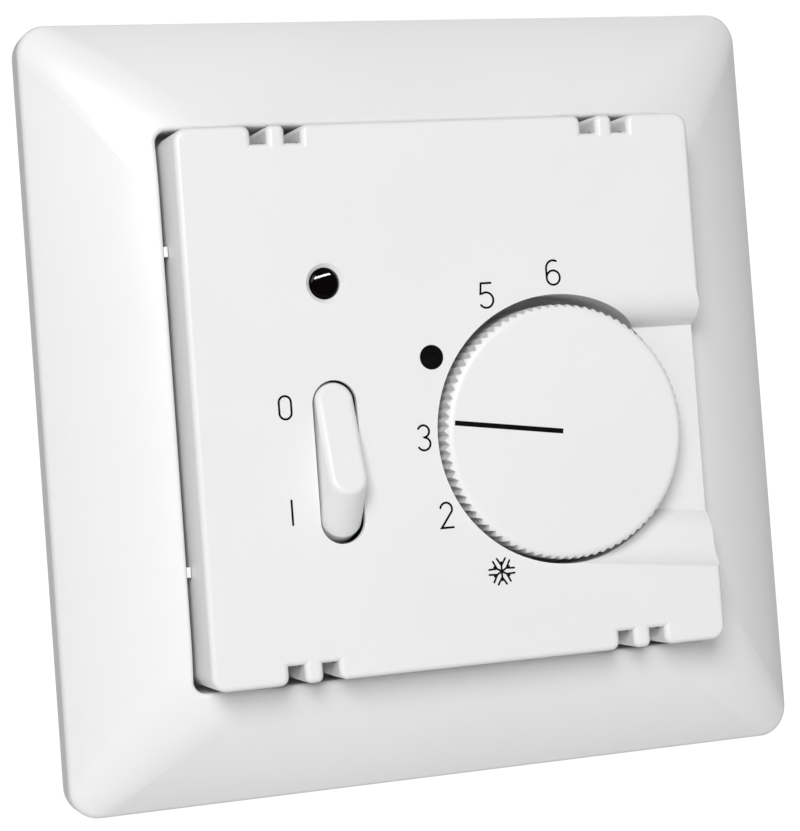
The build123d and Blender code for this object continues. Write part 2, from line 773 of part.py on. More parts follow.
blade_base = tilted(rocker_x, blade_pivot_height, rocker_z, -blade_rest_angle)
with BuildPart() as switch_blade:
    with BuildSketch(blade_base.offset(-blade_thickness / 2)):
        Rectangle(blade_width, blade_length)
    extrude(amount=blade_thickness)
    with BuildSketch(blade_base.offset(-blade_thickness / 2)):
        with Locations((0, blade_contact_offset)):
            Circle(blade_contact_radius)
    extrude(amount=-blade_contact_thickness)
pieces["switch_blade"] = switch_blade

fulcrum_top_height = blade_pivot_height - blade_thickness / 2 - blade_clearance
with BuildPart() as switch_fulcrum:
    with BuildSketch(facing(board_top_height)):
        with Locations((rocker_x, rocker_z)):
            Rectangle(blade_width, fulcrum_length)
    extrude(amount=fulcrum_top_height - board_top_height)
pieces["switch_fulcrum"] = switch_fulcrum

contact_reach = blade_thickness / 2 + blade_contact_thickness
closed_drop = blade_contact_offset * sin(blade_rest_angle) + contact_reach * cos(blade_rest_angle)
contact_top_height = blade_pivot_height - closed_drop - ring_clearance
with BuildPart() as switch_contact:
    with BuildSketch(facing(board_top_height)):
        with Locations((rocker_x, rocker_z + blade_contact_offset)):
            Circle(blade_contact_radius)
    extrude(amount=contact_top_height - board_top_height)
pieces["switch_contact"] = switch_contact


# ---- Indicator lamp behind its lens ----
lens_front_height = face_height - lens_recess
lens_back_height = cover_inner_height - lens_boss_length
bulb_top_height = lens_back_height - lens_flange_thickness - bulb_gap
with BuildPart() as lamp_lens:
    with BuildSketch(facing(lens_back_height)):
        with Locations((lamp_x, lamp_z)):
            Circle(lens_radius)
    extrude(amount=lens_front_height - lens_back_height)
    fillet(lamp_lens.edges().sort_by(Axis.Y)[0], lens_recess)
    with BuildSketch(facing(lens_back_height)):
        with Locations((lamp_x, lamp_z)):
            Circle(lens_flange_radius)
    extrude(amount=-lens_flange_thickness)
pieces["lamp_lens"] = lamp_lens

with BuildPart() as indicator_lamp:
    with BuildSketch(facing(bulb_top_height - bulb_length)):
        with Locations((lamp_x, lamp_z)):
            Circle(bulb_radius)
    extrude(amount=bulb_length)
    fillet(indicator_lamp.edges().sort_by(Axis.Y)[0], bulb_rounding)
pieces["indicator_lamp"] = indicator_lamp

with BuildPart() as lamp_leads:
    with BuildSketch(facing(board_top_height)):
        with Locations((lamp_x - lead_spacing / 2, lamp_z), (lamp_x + lead_spacing / 2, lamp_z)):
            Circle(lead_radius)
    extrude(amount=bulb_top_height - bulb_length - board_top_height)
pieces["lamp_leads"] = lamp_leads


# ---- Support plate with two pairs of slots at the standard spacing ----
def draw_box_body(growth):
    """The square with cut corners that passes into the wall box."""
    half = box_body_side / 2 + growth
    cut = half - box_body_chamfer
    outline = [(half, cut), (cut, half), (-cut, half), (-half, cut)]
    Polygon(*outline, *[(-x, -z) for x, z in outline], align=None)


with BuildSketch(facing(0)) as plate_cutout:
    draw_box_body(plate_cutout_clearance)

with BuildPart() as support_plate:
    with BuildSketch(facing(0)):
        RectangleRounded(plate_side, plate_side, plate_corner_radius)
        for rotation, reach in ((0, (screw_spacing / 2, 0)), (90, (0, screw_spacing / 2))):
            with Locations(reach, (-reach[0], -reach[1])):
                SlotOverall(screw_slot_length, screw_slot_width, rotation=rotation, mode=Mode.SUBTRACT)
        with Locations(*[(i * plate_screw_place, j * plate_screw_place) for i, j in corners]):
            Circle(plate_screw_radius + running_clearance, mode=Mode.SUBTRACT)
        add(plate_cutout.sketch_local, mode=Mode.SUBTRACT)
    extrude(amount=plate_thickness)
pieces["support_plate"] = support_plate

with BuildPart() as plate_screws:
    with BuildSketch(facing(-plate_screw_head_thickness)):
        with Locations(*[(i * plate_screw_place, j * plate_screw_place) for i, j in corners]):
            Circle(plate_screw_head_radius)
    extrude(amount=plate_screw_head_thickness)
    with BuildSketch(facing(0)):
        with Locations(*[(i * plate_screw_place, j * plate_screw_place) for i, j in corners]):
            Circle(plate_screw_radius)
    extrude(amount=plate_screw_length)
    with BuildSketch(facing(-plate_screw_head_thickness)):
        with Locations(*[(i * plate_screw_place, j * plate_screw_place) for i, j in corners]):
            Rectangle(plate_screw_cross_length, plate_screw_cross_width)
            Rectangle(plate_screw_cross_width, plate_screw_cross_length)
    extrude(amount=plate_screw_cross_depth, mode=Mode.SUBTRACT)
pieces["plate_screws"] = plate_screws


# ---- Base housing: a tray in front of the plate and a box body behind it ----
tray_rim_inner = tray_side - 2 * tray_rim_wall
body_inner_growth = -box_body_wall
with BuildPart() as base_housing:
    with BuildSketch(facing(plate_thickness)):
        Rectangle(tray_side, tray_side)
    extrude(amount=tray_floor)
    with BuildSketch(facing(tray_floor_top)):
        Rectangle(tray_side, tray_side)
        Rectangle(tray_rim_inner, tray_rim_inner, mode=Mode.SUBTRACT)
    extrude(amount=tray_rim_height - tray_floor_top)
    with BuildSketch(facing(tray_floor_top)):
        with Locations(*[(i * plate_screw_place, j * plate_screw_place) for i, j in corners]):
            Circle(pad_radius)
    extrude(amount=board_pad)
    with BuildSketch(facing(plate_thickness)):
        with Locations((dial_x, dial_z)):
            Circle(bearing_boss_radius)
    extrude(amount=bearing_top_height - plate_thickness)
    with BuildSketch(facing(plate_thickness)):
        with Locations((cover_screw_x, cover_screw_z)):
            Circle(cover_pillar_radius)
    extrude(amount=cover_boss_height - plate_thickness)
    with BuildSketch(facing(-box_body_depth)):
        draw_box_body(0)
    extrude(amount=box_body_depth + plate_thickness)
    with BuildSketch(facing(-box_body_depth)):
        draw_box_body(body_inner_growth)
    extrude(amount=box_body_depth, mode=Mode.SUBTRACT)
    with BuildSketch(facing(plate_thickness)):
        with Locations((dial_x, dial_z)):
            Circle(spindle_pivot_radius + running_clearance)
    extrude(amount=bearing_top_height - plate_thickness, mode=Mode.SUBTRACT)
    with BuildSketch(facing(plate_thickness)):
        with Locations((cover_screw_x, cover_screw_z)):
            Circle(cover_screw_radius)
    extrude(amount=cover_boss_height - plate_thickness, mode=Mode.SUBTRACT)
    with BuildSketch(facing(plate_thickness)):
        with Locations(*[(i * plate_screw_place, j * plate_screw_place) for i, j in corners]):
            Circle(plate_screw_radius)
    extrude(amount=plate_screw_length - plate_thickness, mode=Mode.SUBTRACT)
    with BuildSketch(facing(board_bottom_height)):
        with Locations(*[(i * board_screw_place, j * board_screw_place) for i, j in corners]):
            Circle(board_screw_radius)
    extrude(amount=-board_pad - tray_floor, mode=Mode.SUBTRACT)
    # Openings for the terminal tabs and for a screwdriver
    with BuildSketch(facing(0)):
        with Locations(*[(x, terminal_block_centre_z) for x in terminal_places]):
            Rectangle(tab_width + 2 * cage_clearance, tab_thickness + 2 * cage_clearance)
    extrude(amount=tray_floor_top, mode=Mode.SUBTRACT)
    screw_height = cage_front - cage_depth / 2
    with BuildSketch(Plane(origin=(0, -screw_height, -box_body_side / 2), x_dir=(1, 0, 0), z_dir=(0, 0, 1))):
        with Locations(*[(x, 0) for x in terminal_places]):
            Circle(screw_access_radius)
    extrude(amount=box_body_wall, mode=Mode.SUBTRACT)
pieces["base_housing"] = base_housing

with BuildPart() as rear_cover:
    with BuildSketch(facing(-box_body_depth)):
        draw_box_body(0)
    extrude(amount=-rear_cover_thickness)
    with BuildSketch(facing(-box_body_depth)):
        draw_box_body(body_inner_growth - rear_lip_clearance)
    extrude(amount=rear_lip_depth)
    with BuildSketch(facing(-box_body_depth)):
        draw_box_body(body_inner_growth - rear_lip_clearance - rear_lip_wall)
    extrude(amount=rear_lip_depth, mode=Mode.SUBTRACT)
    with BuildSketch(facing(-box_body_depth)):
        with Locations(*[(x, terminal_block_centre_z) for x in terminal_places]):
            Circle(wire_hole_radius)
    extrude(amount=-rear_cover_thickness, mode=Mode.SUBTRACT)
pieces["rear_cover"] = rear_cover


# ---- Circuit board and what stands on it ----
with BuildPart() as circuit_board:
    with BuildSketch(facing(board_bottom_height)):
        Rectangle(board_side, board_side)
        with Locations((dial_x, dial_z)):
            Circle(bearing_boss_radius + board_hole_clearance, mode=Mode.SUBTRACT)
        with Locations((cover_screw_x, cover_screw_z)):
            Circle(cover_pillar_radius + board_hole_clearance, mode=Mode.SUBTRACT)
        with Locations(*[(i * board_screw_place, j * board_screw_place) for i, j in corners]):
            Circle(board_screw_radius, mode=Mode.SUBTRACT)
        with Locations(*[(x, terminal_block_centre_z) for x in terminal_places]):
            Rectangle(tab_width, tab_thickness, mode=Mode.SUBTRACT)
    extrude(amount=board_thickness)
pieces["circuit_board"] = circuit_board

with BuildPart() as board_screws:
    with BuildSketch(facing(board_top_height)):
        with Locations(*[(i * board_screw_place, j * board_screw_place) for i, j in corners]):
            Circle(board_screw_head_radius)
    extrude(amount=board_screw_head_thickness)
    with BuildSketch(facing(board_top_height)):
        with Locations(*[(i * board_screw_place, j * board_screw_place) for i, j in corners]):
            Circle(board_screw_radius)
    extrude(amount=plate_thickness - board_top_height)
pieces["board_screws"] = board_screws

resistor_places = {
    "feedback_resistor": (-1.6, 17.0),
    "lamp_resistor": (-13.15, 19.0),
    "setback_resistor": (2.0, -20.3),
}
for name, (x, z) in resistor_places.items():
    axis_height = board_top_height + resistor_standoff + resistor_radius
    with BuildPart() as resistor:
        with BuildSketch(side_plane(x, axis_height, z)):
            Circle(resistor_radius)
        extrude(amount=resistor_length / 2, both=True)
        fillet(resistor.edges().filter_by(GeomType.CIRCLE), resistor_rounding)
        with BuildSketch(side_plane(x, axis_height, z)):
            Circle(resistor_lead_radius)
        extrude(amount=resistor_length / 2 + resistor_lead_reach, both=True)
        lead_x = resistor_length / 2 + resistor_lead_reach - resistor_lead_radius
        with BuildSketch(facing(board_top_height)):
            with Locations((x - lead_x, z), (x + lead_x, z)):
                Circle(resistor_lead_radius)
        extrude(amount=axis_height - board_top_height)
    pieces[name] = resistor

with BuildPart() as suppression_capacitor:
    with BuildSketch(facing(board_top_height)):
        with Locations((capacitor_x, capacitor_z)):
            Rectangle(capacitor_length, capacitor_width)
    extrude(amount=capacitor_height)
    fillet(suppression_capacitor.edges().filter_by(Axis.Y), capacitor_rounding)
pieces["suppression_capacitor"] = suppression_capacitor


# ---- Setting lever, which follows the cam and carries one contact ----
tab_left_x = lever_x - lever_post_width / 2
lever_tab_low_z = lever_z + lever_tab_bottom
lever_tab_high_z = lever_z + lever_tab_top
with BuildPart() as setting_lever:
    with BuildSketch(facing(cam_height)):
        with Locations((lever_x, lever_z)):
            Circle(lever_hub_radius)
        with Locations(((lever_x + lever_nose_x) / 2, (lever_z + lever_nose_z) / 2)):
            Rectangle(lever_nose_x - lever_x, lever_arm_width)
        with Locations((lever_nose_x, lever_nose_z)):
            Circle(lever_nose_radius)
        with Locations((lever_x, (lever_z + lever_tab_high_z) / 2)):
            Rectangle(lever_post_width, lever_tab_high_z - lever_z)
        with Locations((lever_x, lever_z)):
            Circle(lever_pin_radius + running_clearance, mode=Mode.SUBTRACT)
    extrude(amount=cam_thickness)
    with BuildSketch(facing(cam_height)):
        with Locations((lever_x, (lever_tab_low_z + lever_tab_high_z) / 2)):
            Rectangle(lever_post_width, lever_tab_high_z - lever_tab_low_z)
    extrude(amount=cam_thickness + lever_tab_rise)
pieces["setting_lever"] = setting_lever

with BuildPart() as lever_pin:
    with BuildSketch(facing(board_top_height)):
        with Locations((lever_x, lever_z)):
            Circle(lever_pin_radius)
    extrude(amount=cam_height + cam_thickness + ring_clearance - board_top_height)
    with BuildSketch(facing(cam_height + cam_thickness + ring_clearance)):
        with Locations((lever_x, lever_z)):
            Circle(lever_pin_head_radius)
    extrude(amount=lever_pin_head_thickness)
    with BuildSketch(facing(board_top_height)):
        with Locations((lever_x, lever_z)):
            Circle(lever_pin_head_radius)
    extrude(amount=cam_height - ring_clearance - board_top_height)
pieces["lever_pin"] = lever_pin


with BuildPart() as lever_contact:
    with BuildSketch(side_plane(tab_left_x, contact_height, contact_z)):
        Circle(contact_radius)
    extrude(amount=-lever_contact_thickness)
pieces["lever_contact"] = lever_contact

with BuildPart() as magnet:
    with BuildSketch(side_plane(tab_left_x, contact_height, magnet_z)):
        Rectangle(2 * contact_radius, magnet_length)
    extrude(amount=-magnet_thickness)
pieces["magnet"] = magnet

strip_middle_height = bimetal_height + bimetal_width / 2
strip_right_x = bimetal_x + bimetal_thickness / 2
with BuildPart() as bimetal_strip:
    with BuildSketch(side_plane(bimetal_x, strip_middle_height, (bimetal_top_z + bimetal_tip_z) / 2)):
        RectangleRounded(bimetal_width, bimetal_top_z - bimetal_tip_z, bimetal_corner_radius)
    extrude(amount=bimetal_thickness / 2, both=True)
pieces["bimetal_strip"] = bimetal_strip

with BuildPart() as moving_contact:
    with BuildSketch(side_plane(strip_right_x, contact_height, contact_z)):
        Circle(contact_radius)
    extrude(amount=moving_contact_thickness)
pieces["moving_contact"] = moving_contact

with BuildPart() as armature:
    with BuildSketch(side_plane(strip_right_x, contact_height, magnet_z)):
        Rectangle(2 * contact_radius, magnet_length)
    extrude(amount=armature_thickness)
pieces["armature"] = armature

bracket_width = bimetal_thickness + 2 * bracket_clearance + 2 * bracket_wall
bracket_depth = bimetal_height + bimetal_width + bracket_clearance - board_top_height
bracket_left_x = bimetal_x - bracket_width / 2
slot_width = bimetal_thickness + 2 * bracket_clearance
slot_top_z = bimetal_top_z + bracket_clearance
calibration_z = bracket_bottom_z + bracket_wall
with BuildPart() as bimetal_bracket:
    with BuildSketch(facing(board_top_height)):
        with Locations((bimetal_x, (bracket_bottom_z + bracket_top_z) / 2)):
            Rectangle(bracket_width, bracket_top_z - bracket_bottom_z)
    extrude(amount=bracket_depth)
    with BuildSketch(facing(bimetal_height - bracket_clearance)):
        with Locations((bimetal_x, (bracket_bottom_z + slot_top_z) / 2)):
            Rectangle(slot_width, slot_top_z - bracket_bottom_z)
    extrude(amount=bracket_depth, mode=Mode.SUBTRACT)
    with BuildSketch(side_plane(bracket_left_x, strip_middle_height, calibration_z)):
        Circle(calibration_screw_radius)
    extrude(amount=bracket_wall, mode=Mode.SUBTRACT)
pieces["bimetal_bracket"] = bimetal_bracket

with BuildPart() as calibration_screw:
    screw_end_x = bimetal_x - bimetal_thickness / 2 - bracket_clearance
    with BuildSketch(side_plane(screw_end_x, strip_middle_height, calibration_z)):
        Circle(calibration_screw_radius)
    extrude(amount=-calibration_screw_length)
    with BuildSketch(side_plane(screw_end_x - calibration_screw_length, strip_middle_height, calibration_z)):
        Rectangle(2 * calibration_screw_radius, calibration_slot_width)
    extrude(amount=calibration_slot_depth, mode=Mode.SUBTRACT)
pieces["calibration_screw"] = calibration_screw


# ---- Terminals: four cage clamps in a block behind the tray ----
with BuildPart() as terminal_block:
    with BuildSketch(facing(-terminal_block_depth)):
        with Locations((0, terminal_block_centre_z)):
            Rectangle(terminal_count * terminal_pitch + terminal_block_wall, terminal_block_height)
        with Locations(*[(x, terminal_block_centre_z) for x in terminal_places]):
            Rectangle(pocket_width, pocket_height, mode=Mode.SUBTRACT)
    extrude(amount=terminal_block_depth)
    screw_plane = Plane(origin=(0, -screw_height, terminal_block_bottom_z), x_dir=(1, 0, 0), z_dir=(0, 0, 1))
    with BuildSketch(screw_plane):
        with Locations(*[(x, 0) for x in terminal_places]):
            Circle(screw_access_radius)
    extrude(amount=terminal_block_wall, mode=Mode.SUBTRACT)
pieces["terminal_block"] = terminal_block

with BuildPart() as terminal_cages:
    with BuildSketch(facing(cage_front - cage_depth)):
        with Locations(*[(x, terminal_block_centre_z) for x in terminal_places]):
            Rectangle(cage_width, cage_height)
            Rectangle(cage_width - 2 * cage_wall, cage_height - 2 * cage_wall, mode=Mode.SUBTRACT)
    extrude(amount=cage_depth)
    with BuildSketch(screw_plane):
        with Locations(*[(x, 0) for x in terminal_places]):
            Circle(terminal_screw_radius)
    extrude(amount=terminal_block_height / 2, mode=Mode.SUBTRACT)
pieces["terminal_cages"] = terminal_cages

with BuildPart() as terminal_screws:
    with BuildSketch(screw_plane):
        with Locations(*[(x, 0) for x in terminal_places]):
            Circle(terminal_screw_radius)
    extrude(amount=terminal_screw_length)
    with BuildSketch(screw_plane):
        with Locations(*[(x, 0) for x in terminal_places]):
            Rectangle(2 * terminal_screw_radius, terminal_slot_width)
    extrude(amount=terminal_slot_depth, mode=Mode.SUBTRACT)
pieces["terminal_screws"] = terminal_screws

with BuildPart() as terminal_tabs:
    with BuildSketch(facing(cage_front - cage_depth / 2 + terminal_screw_radius)):
        with Locations(*[(x, terminal_block_centre_z) for x in terminal_places]):
            Rectangle(tab_width, tab_thickness)
    extrude(amount=board_top_height - cage_front + cage_depth / 2 - terminal_screw_radius)
pieces["terminal_tabs"] = terminal_tabs


for name, builder in pieces.items():
    builder.part.label = name
    export_step(builder.part, f"parts/{name}.step")
    print(name, round(builder.part.volume, 1), builder.part.is_valid)
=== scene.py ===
"""Looks for the wall thermostat: camera, light, printed marks and procedural materials."""

import bpy
from math import cos, pi, radians, sin
from mathutils import Matrix, Quaternion, Vector


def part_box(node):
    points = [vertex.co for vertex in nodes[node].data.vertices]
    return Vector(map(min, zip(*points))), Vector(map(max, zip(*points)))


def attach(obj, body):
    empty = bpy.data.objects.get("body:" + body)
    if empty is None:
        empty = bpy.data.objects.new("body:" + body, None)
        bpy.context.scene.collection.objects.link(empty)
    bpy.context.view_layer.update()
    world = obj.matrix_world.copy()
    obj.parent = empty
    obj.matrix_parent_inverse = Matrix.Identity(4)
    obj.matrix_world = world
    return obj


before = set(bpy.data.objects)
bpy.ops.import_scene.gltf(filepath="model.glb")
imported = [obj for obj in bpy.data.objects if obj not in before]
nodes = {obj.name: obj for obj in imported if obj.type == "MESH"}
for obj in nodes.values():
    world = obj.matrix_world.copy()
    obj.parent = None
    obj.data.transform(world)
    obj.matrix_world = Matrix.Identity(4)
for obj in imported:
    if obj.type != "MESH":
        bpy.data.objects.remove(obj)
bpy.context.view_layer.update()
scene = bpy.context.scene

# ---------------------------------------------------------------- camera
CAMERA_PLACE = Vector((-0.0802, -0.2338, -0.0029))
CAMERA_FORWARD = Vector((0.313, 0.949, 0.024)).normalized()
CAMERA_RIGHT = Vector((0.948, -0.311, -0.074))
CAMERA_LENS = 100.24
CAMERA_SHIFT_X = 0.024
CAMERA_SHIFT_Y = -0.054


def make_camera():
    right = (CAMERA_RIGHT - CAMERA_FORWARD * CAMERA_RIGHT.dot(CAMERA_FORWARD)).normalized()
    up = right.cross(CAMERA_FORWARD)
    turn = Matrix((right, up, -CAMERA_FORWARD)).transposed()
    data = bpy.data.cameras.new("camera")
    data.sensor_width = 36.0
    data.lens = CAMERA_LENS
    data.shift_x = CAMERA_SHIFT_X
    data.shift_y = CAMERA_SHIFT_Y
    data.clip_start = 0.01
    data.clip_end = 20.0
    camera = bpy.data.objects.new("camera", data)
    camera.matrix_world = Matrix.Translation(CAMERA_PLACE) @ turn.to_4x4()
    scene.collection.objects.link(camera)
    scene.camera = camera


make_camera()

# ---------------------------------------------------------------- light
scene.view_settings.view_transform = "Standard"


def make_world(sky_strength, seen_strength):
    """Even white surroundings: dim as a light, pure white to the eye."""
    world = bpy.data.worlds.new("studio")
    scene.world = world
    world.use_nodes = True
    tree = world.node_tree
    tree.nodes.clear()
    out = tree.nodes.new("ShaderNodeOutputWorld")
    light = tree.nodes.new("ShaderNodeBackground")
    light.inputs["Color"].default_value = (1.0, 1.0, 1.0, 1.0)
    light.inputs["Strength"].default_value = sky_strength
    seen = tree.nodes.new("ShaderNodeBackground")
    seen.inputs["Color"].default_value = (1.0, 1.0, 1.0, 1.0)
    seen.inputs["Strength"].default_value = seen_strength
    path = tree.nodes.new("ShaderNodeLightPath")
    mix = tree.nodes.new("ShaderNodeMixShader")
    tree.links.new(path.outputs["Is Camera Ray"], mix.inputs["Fac"])
    tree.links.new(light.outputs["Background"], mix.inputs[1])
    tree.links.new(seen.outputs["Background"], mix.inputs[2])
    tree.links.new(mix.outputs["Shader"], out.inputs["Surface"])


def make_area(name, place, size, power, target=(0.0, -0.01, 0.0), roll=0.0):
    data = bpy.data.lights.new(name, "AREA")
    data.shape = "RECTANGLE"
    data.size, data.size_y = size
    data.energy = power
    lamp = bpy.data.objects.new(name, data)
    lamp.location = place
    lamp.rotation_mode = "QUATERNION"
    aim = (Vector(target) - Vector(place)).to_track_quat("-Z", "Y")
    lamp.rotation_quaternion = aim @ Quaternion((0.0, 0.0, 1.0), radians(roll))
    scene.collection.objects.link(lamp)


SKY_STRENGTH = 0.24
SKY_SEEN_STRENGTH = 1.05
KEY_PLACE, KEY_SIZE, KEY_POWER = (-0.35, -0.84, 0.36), (0.4, 0.4), 7.5
BACK_PLACE, BACK_SIZE, BACK_POWER = (0.35, 0.8, 0.5), (0.6, 0.6), 3.0
GLINT_RISE = 0.0008
GLINT_DISTANCE = 0.3
GLINT_SIZE = (0.0048, 0.0004)
GLINT_POWER = 0.0012
GLINT_ROLL = 12.0

make_world(SKY_STRENGTH, SKY_SEEN_STRENGTH)
make_area("key", KEY_PLACE, KEY_SIZE, KEY_POWER)
make_area("back_fill", BACK_PLACE, BACK_SIZE, BACK_POWER)


def make_glint():
    """A narrow strip of light that the flat lens mirrors towards the camera."""
    low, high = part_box("lamp_lens")
    lens_top = Vector(((low.x + high.x) / 2, low.y, (low.z + high.z) / 2 + GLINT_RISE))
    sight = lens_top - CAMERA_PLACE
    mirrored = Vector((sight.x, -sight.y, sight.z)).normalized()
    place = lens_top + mirrored * GLINT_DISTANCE
    make_area("lens_glint", place, GLINT_SIZE, GLINT_POWER, lens_top, GLINT_ROLL)


make_glint()


FLOOR_RADIUS = 0.5
FLOOR_DEPTH = 0.14
FLOOR_STEPS = 96
FLOOR_COLOUR = (0.84, 0.84, 0.84, 1.0)


def make_floor():
    """A plain round pale floor below the object. From underneath it is clear, so it hides nothing."""
    angles = [2 * pi * i / FLOOR_STEPS for i in range(FLOOR_STEPS)]
    rim = [(FLOOR_RADIUS * cos(a), FLOOR_RADIUS * sin(a), -FLOOR_DEPTH) for a in angles]
    mesh = bpy.data.meshes.new("floor")
    mesh.from_pydata(rim, [], [list(range(FLOOR_STEPS))])
    floor = bpy.data.objects.new("floor", mesh)
    scene.collection.objects.link(floor)
    material = bpy.data.materials.new("floor_paper")
    material.use_nodes = True
    tree = material.node_tree
    shader = tree.nodes["Principled BSDF"]
    shader.inputs["Base Color"].default_value = FLOOR_COLOUR
    shader.inputs["Roughness"].default_value = 0.85
    side = tree.nodes.new("ShaderNodeNewGeometry")
    clear = tree.nodes.new("ShaderNodeBsdfTransparent")
    mix = tree.nodes.new("ShaderNodeMixShader")
    tree.links.new(side.outputs["Backfacing"], mix.inputs["Fac"])
    tree.links.new(shader.outputs["BSDF"], mix.inputs[1])
    tree.links.new(clear.outputs["BSDF"], mix.inputs[2])
    tree.links.new(mix.outputs["Shader"], tree.nodes["Material Output"].inputs["Surface"])
    mesh.materials.append(material)


make_floor()


# ---------------------------------------------------------------- materials
class Nodes:
    """A short way to write a material's nodes."""

    def __init__(self, name):
        self.material = bpy.data.materials.new(name)
        self.material.use_nodes = True
        self.tree = self.material.node_tree
        self.shader = self.tree.nodes["Principled BSDF"]
        self.place = self.add("ShaderNodeTexCoord").outputs["Object"]

    def add(self, kind, **sockets):
        node = self.tree.nodes.new(kind)
        for name, value in sockets.items():
            self.put(node.inputs[name.replace("_", " ")], value)
        return node

    def put(self, socket, value):
        if isinstance(value, bpy.types.NodeSocket):
            self.tree.links.new(value, socket)
        else:
            socket.default_value = value

    def set(self, **sockets):
        for name, value in sockets.items():
            self.put(self.shader.inputs[name.replace("_", " ")], value)

    def noise(self, scale, detail=3.0, stretch=(1.0, 1.0, 1.0)):
        where = self.place
        if stretch != (1.0, 1.0, 1.0):
            mapping = self.add("ShaderNodeMapping", Vector=self.place)
            mapping.inputs["Scale"].default_value = stretch
            where = mapping.outputs["Vector"]
        node = self.add("ShaderNodeTexNoise", Vector=where, Scale=scale, Detail=detail)
        return node.outputs["Fac"]

    def spread(self, value, low, high, start=0.3, end=0.7):
        """Maps a noise's middle range to low..high."""
        node = self.add("ShaderNodeMapRange", Value=value)
        for name, number in (("From Min", start), ("From Max", end), ("To Min", low), ("To Max", high)):
            node.inputs[name].default_value = number
        return node.outputs["Result"]

    def blend(self, factor, first, second):
        node = self.add("ShaderNodeMix")
        node.data_type = "RGBA"
        self.put(node.inputs["Factor"], factor)
        self.put(node.inputs[6], first)
        self.put(node.inputs[7], second)
        return node.outputs[2]

    def bump(self, height, depth, strength=1.0, below=None):
        node = self.add("ShaderNodeBump", Height=height, Strength=strength, Distance=depth)
        if below is not None:
            self.put(node.inputs["Normal"], below)
        return node.outputs["Normal"]


def shade(colour, factor):
    return tuple(min(1.0, c * factor) for c in colour) + (1.0,)


def moulded(name, colour, roughness, grain=2600.0, depth=0.000012, dust=0.97):
    """Injection-moulded plastic: a fine sparked grain, soft flow clouds and a trace of dust."""
    n = Nodes(name)
    clouds = n.noise(38.0, 4.0)
    grain_noise = n.noise(grain, 2.0)
    n.set(Base_Color=n.blend(n.spread(clouds, 0.0, 1.0), shade(colour, dust), shade(colour, 1.0)))
    n.set(Roughness=n.spread(n.noise(140.0, 5.0), roughness - 0.02, roughness + 0.02))
    n.set(Normal=n.bump(grain_noise, depth, 0.35))
    n.set(IOR=1.5)
    return n.material


def metal(name, colour, roughness, stretch=(1.0, 1.0, 1.0), tarnish=0.82, depth=0.00001):
    """Bare or plated metal with rolling marks and a little tarnish."""
    n = Nodes(name)
    marks = n.noise(1800.0, 4.0, stretch)
    stains = n.noise(160.0, 5.0)
    n.set(Base_Color=n.blend(n.spread(stains, 0.0, 1.0), shade(colour, tarnish), shade(colour, 1.0)))
    n.set(Metallic=1.0)
    n.set(Roughness=n.spread(marks, roughness - 0.08, roughness + 0.1))
    n.set(Normal=n.bump(marks, depth, 0.4))
    return n.material


def ink(name):
    """Pad-printed black ink, slightly uneven where the plastic's grain shows through."""
    n = Nodes(name)
    patches = n.noise(2400.0, 3.0)
    black, charcoal = (0.001, 0.001, 0.001, 1.0), (0.005, 0.004, 0.004, 1.0)
    n.set(Base_Color=n.blend(n.spread(patches, 0.0, 1.0), black, charcoal))
    n.set(Specular_IOR_Level=0.06)
    n.set(Roughness=n.spread(n.noise(900.0, 3.0), 0.42, 0.6))
    n.set(Normal=n.bump(patches, 0.000006, 0.5))
    return n.material


def lens(name):
    """Smoked lens, polished, nearly black with the lamp off."""
    n = Nodes(name)
    depth_tint = n.noise(500.0, 2.0)
    dark, ruby = (0.0004, 0.0003, 0.0003, 1.0), (0.0015, 0.0008, 0.0006, 1.0)
    n.set(Base_Color=n.blend(n.spread(depth_tint, 0.0, 1.0), dark, ruby))
    n.set(Roughness=n.spread(n.noise(1400.0, 4.0), 0.004, 0.014))
    n.set(Specular_IOR_Level=0.08)
    n.set(Normal=n.bump(n.noise(250.0, 1.0), 0.00001, 0.03))
    return n.material


def bulb_glass(name):
    """Thin glass of a glow lamp with a warm cast."""
    n = Nodes(name)
    pale, amber = (1.0, 0.86, 0.7, 1.0), (0.95, 0.78, 0.6, 1.0)
    n.set(Base_Color=n.blend(n.noise(300.0, 3.0), pale, amber))
    n.set(Transmission_Weight=0.9, IOR=1.45)
    n.set(Roughness=n.spread(n.noise(900.0, 4.0), 0.02, 0.12))
    return n.material


def board(name):
    """Green solder resist with copper tracks showing through it as paler lines."""
    n = Nodes(name)
    weave = n.add("ShaderNodeTexBrick", Vector=n.place, Scale=420.0)
    weave.inputs["Mortar Size"].default_value = 0.03
    tracks = n.add("ShaderNodeTexVoronoi", Vector=n.place, Scale=260.0)
    tracks.distance = "MANHATTAN"
    tracks.feature = "F1"
    track = n.spread(tracks.outputs["Distance"], 0.0, 1.0, 0.28, 0.32)
    deep, bright = (0.01, 0.085, 0.035, 1.0), (0.015, 0.12, 0.05, 1.0)
    resist = n.blend(n.spread(n.noise(90.0, 4.0), 0.0, 1.0), deep, bright)
    n.set(Base_Color=n.blend(track, (0.03, 0.2, 0.08, 1.0), resist))
    n.set(Roughness=n.spread(n.noise(600.0, 3.0), 0.25, 0.4))
    n.set(Normal=n.bump(track, 0.00003, 0.5, n.bump(weave.outputs["Fac"], 0.00001, 0.4)))
    return n.material


BAND_WIDTH = 0.08


